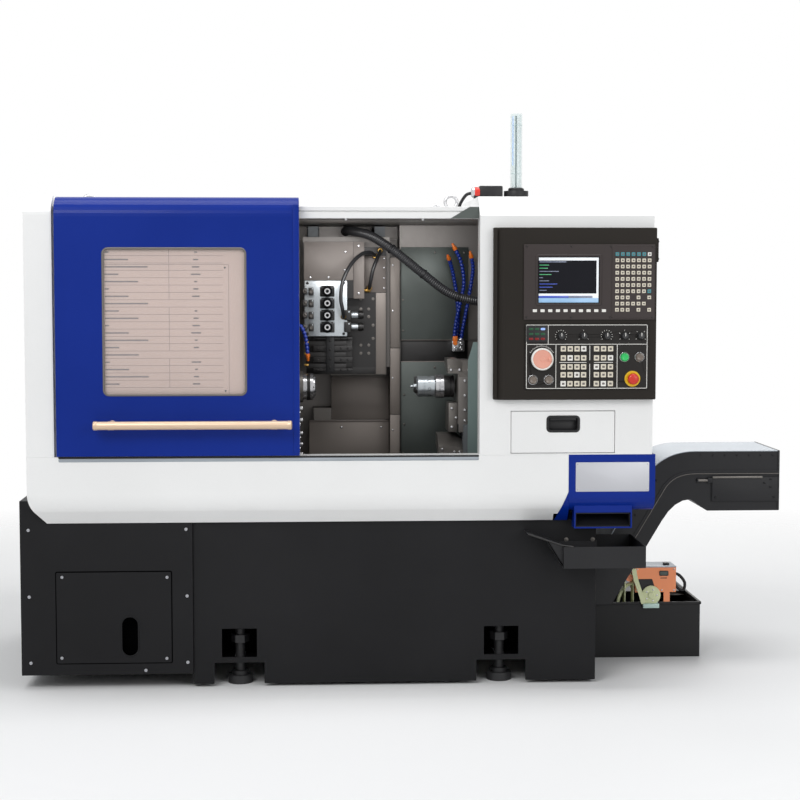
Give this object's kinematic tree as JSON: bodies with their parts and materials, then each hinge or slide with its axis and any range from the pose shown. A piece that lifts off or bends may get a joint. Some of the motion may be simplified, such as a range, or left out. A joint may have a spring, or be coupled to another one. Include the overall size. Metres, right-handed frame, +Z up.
{
  "type": "cnc turning lathe",
  "caption": "CNC turning lathe with a sliding front door, operator console, facing spindles, a vertical tool slide, a chip conveyor and a coolant tank.",
  "frame": {"origin": "on the floor under the middle of the whole machine", "axes": "+Z up, +X to the operator's right, towards the conveyor, +Y away from the operator"},
  "size_m": [2.826, 1.5, 2.093],
  "materials": {
    "base_paint": "satin charcoal paint",
    "cast_bed": "painted casting",
    "foot_rubber": "black",
    "white_paint": "gloss white paint",
    "blue_paint": "gloss blue paint",
    "window_glass": "clear",
    "handle_alu": "satin",
    "lining_steel": "satin sheet",
    "cover_steel": "satin sheet",
    "bright_steel": "ground",
    "dark_steel": "black oxide",
    "console_paint": "fine texture",
    "panel_film": "satin film",
    "screen_glass": "gloss",
    "key_plastic": "satin",
    "knob_plastic": "satin",
    "wheel_plastic": "gloss",
    "red_plastic": "gloss",
    "green_plastic": "gloss",
    "button_metal": "bright",
    "lamp_plastic": "clear",
    "black_plastic": "matte",
    "conveyor_paint": "satin dark grey",
    "tank_paint": "satin dark grey",
    "skimmer_paint": "gloss orange",
    "belt_fabric": "matte",
    "hose_rubber": "satin",
    "nozzle_plastic": "satin"
  },
  "bodies": {
    "machine": {"base_skirt": "base_paint", "bed_casting": "cast_bed", "levelling_feet": "foot_rubber", "left_base_cover": "base_paint", "access_panel": "base_paint", "lower_front_cover": "white_paint", "left_end_cover": "white_paint", "right_front_cover": "white_paint", "fixed_panel": "white_paint", "roof_cover": "white_paint", "rear_cabinet": "white_paint", "door_rail": "white_paint", "splash_wall": "lining_steel", "corner_panel": "blue_paint", "drip_tray": "conveyor_paint", "console_housing": "console_paint", "display_panel": "panel_film", "display_screen": "screen_glass", "operator_panel": "panel_film", "control_keys": "key_plastic", "lamp_base": "black_plastic", "lamp_lens": "lamp_plastic", "way_covers": "cover_steel", "coolant_tank": "tank_paint", "coolant_pump": "tank_paint", "skimmer_housing": "skimmer_paint", "skimmer_belt": "belt_fabric", "conveyor_casing": "conveyor_paint", "conveyor_belt": "cover_steel", "cable_conduit": "hose_rubber", "coolant_nozzles": "nozzle_plastic"},
    "door": {"door_panel": "blue_paint", "door_window": "window_glass", "door_handle": "handle_alu"},
    "drawer": {"drawer": "white_paint"},
    "headstock": {"headstock": "cover_steel", "spindle_bearings": "bright_steel"},
    "main_spindle": {"main_spindle": "bright_steel"},
    "sub_slide": {"sub_slide": "cover_steel"},
    "sub_spindle": {"sub_spindle": "bright_steel"},
    "tool_carriage": {"tool_carriage": "lining_steel"},
    "tool_plate": {"tool_plate": "dark_steel", "tool_holders": "bright_steel", "tool_hoses": "hose_rubber"},
    "live_tool_1": {"live_tool_1": "dark_steel"},
    "live_tool_2": {"live_tool_2": "dark_steel"},
    "live_tool_3": {"live_tool_3": "dark_steel"},
    "live_tool_4": {"live_tool_4": "dark_steel"},
    "conveyor_drum": {"conveyor_drum": "bright_steel"},
    "knob_1": {"knob_1": "knob_plastic"},
    "knob_2": {"knob_2": "knob_plastic"},
    "knob_3": {"knob_3": "knob_plastic"},
    "knob_4": {"knob_4": "knob_plastic"},
    "knob_5": {"knob_5": "knob_plastic"},
    "handwheel": {"handwheel": "wheel_plastic"},
    "emergency_stop": {"emergency_stop": "red_plastic"},
    "start_button": {"start_button": "green_plastic"},
    "hold_button": {"hold_button": "button_metal"},
    "power_on_button": {"power_on_button": "button_metal"},
    "power_off_button": {"power_off_button": "button_metal"}
  },
  "joints": [
    {"name": "door_slide", "type": "slide", "parent": "machine", "child": "door", "axis": [1, 0, 0], "range_m": [0, 0.62]},
    {"name": "drawer_slide", "type": "slide", "parent": "machine", "child": "drawer", "axis": [0, -1, 0], "range_m": [0, 0.24]},
    {"name": "headstock_slide", "type": "slide", "parent": "machine", "child": "headstock", "axis": [1, 0, 0], "range_m": [-0.1, 0]},
    {"name": "main_spindle_spin", "type": "hinge", "parent": "headstock", "child": "main_spindle", "pos_m": [0, -0.25, 1.068], "axis": [1, 0, 0], "continuous": true},
    {"name": "sub_slide_travel", "type": "slide", "parent": "machine", "child": "sub_slide", "axis": [1, 0, 0], "range_m": [-0.15, 0.05]},
    {"name": "sub_spindle_spin", "type": "hinge", "parent": "sub_slide", "child": "sub_spindle", "pos_m": [0, -0.25, 1.068], "axis": [1, 0, 0], "continuous": true},
    {"name": "tool_feed", "type": "slide", "parent": "machine", "child": "tool_carriage", "axis": [0, 1, 0], "range_m": [0, 0.1]},
    {"name": "tool_lift", "type": "slide", "parent": "tool_carriage", "child": "tool_plate", "axis": [0, 0, 1], "range_m": [-0.28, 0.02]},
    {"name": "live_tool_1_spin", "type": "hinge", "parent": "tool_plate", "child": "live_tool_1", "pos_m": [-0.307, -0.16, 1.429], "axis": [0, 1, 0], "continuous": true},
    {"name": "live_tool_2_spin", "type": "hinge", "parent": "tool_plate", "child": "live_tool_2", "pos_m": [-0.307, -0.16, 1.383], "axis": [0, 1, 0], "continuous": true},
    {"name": "live_tool_3_spin", "type": "hinge", "parent": "tool_plate", "child": "live_tool_3", "pos_m": [-0.307, -0.16, 1.337], "axis": [0, 1, 0], "continuous": true},
    {"name": "live_tool_4_spin", "type": "hinge", "parent": "tool_plate", "child": "live_tool_4", "pos_m": [-0.307, -0.16, 1.291], "axis": [0, 1, 0], "continuous": true},
    {"name": "conveyor_drum_spin", "type": "hinge", "parent": "machine", "child": "conveyor_drum", "pos_m": [1.2995, -0.155, 0.7075], "axis": [0, 1, 0], "continuous": true},
    {"name": "knob_1_turn", "type": "hinge", "parent": "machine", "child": "knob_1", "pos_m": [0.5152, -0.711, 1.2739], "axis": [0, -1, 0], "range_deg": [-120, 120]},
    {"name": "knob_2_turn", "type": "hinge", "parent": "machine", "child": "knob_2", "pos_m": [0.5961, -0.711, 1.2739], "axis": [0, -1, 0], "range_deg": [-135, 135]},
    {"name": "knob_3_turn", "type": "hinge", "parent": "machine", "child": "knob_3", "pos_m": [0.67874, -0.711, 1.2739], "axis": [0, -1, 0], "range_deg": [-120, 120]},
    {"name": "knob_4_turn", "type": "hinge", "parent": "machine", "child": "knob_4", "pos_m": [0.74276, -0.711, 1.2739], "axis": [0, -1, 0], "range_deg": [-45, 45]},
    {"name": "knob_5_turn", "type": "hinge", "parent": "machine", "child": "knob_5", "pos_m": [0.80038, -0.711, 1.2739], "axis": [0, -1, 0], "range_deg": [-45, 45]},
    {"name": "handwheel_turn", "type": "hinge", "parent": "machine", "child": "handwheel", "pos_m": [0.44711, -0.711, 1.19203], "axis": [0, -1, 0], "continuous": true},
    {"name": "emergency_stop_press", "type": "slide", "parent": "machine", "child": "emergency_stop", "axis": [0, 1, 0], "range_m": [0, 0.005], "stiffness_N_per_m": 2000},
    {"name": "start_button_press", "type": "slide", "parent": "machine", "child": "start_button", "axis": [0, 1, 0], "range_m": [0, 0.003], "stiffness_N_per_m": 800},
    {"name": "hold_button_press", "type": "slide", "parent": "machine", "child": "hold_button", "axis": [0, 1, 0], "range_m": [0, 0.003], "stiffness_N_per_m": 800},
    {"name": "power_on_button_press", "type": "slide", "parent": "machine", "child": "power_on_button", "axis": [0, 1, 0], "range_m": [0, 0.003], "stiffness_N_per_m": 800},
    {"name": "power_off_button_press", "type": "slide", "parent": "machine", "child": "power_off_button", "axis": [0, 1, 0], "range_m": [0, 0.003], "stiffness_N_per_m": 800}
  ],
  "couplings": [
    {"joint": "live_tool_2_spin", "follows": "live_tool_1_spin", "ratio": -1},
    {"joint": "live_tool_3_spin", "follows": "live_tool_1_spin", "ratio": 1},
    {"joint": "live_tool_4_spin", "follows": "live_tool_1_spin", "ratio": -1}
  ]
}
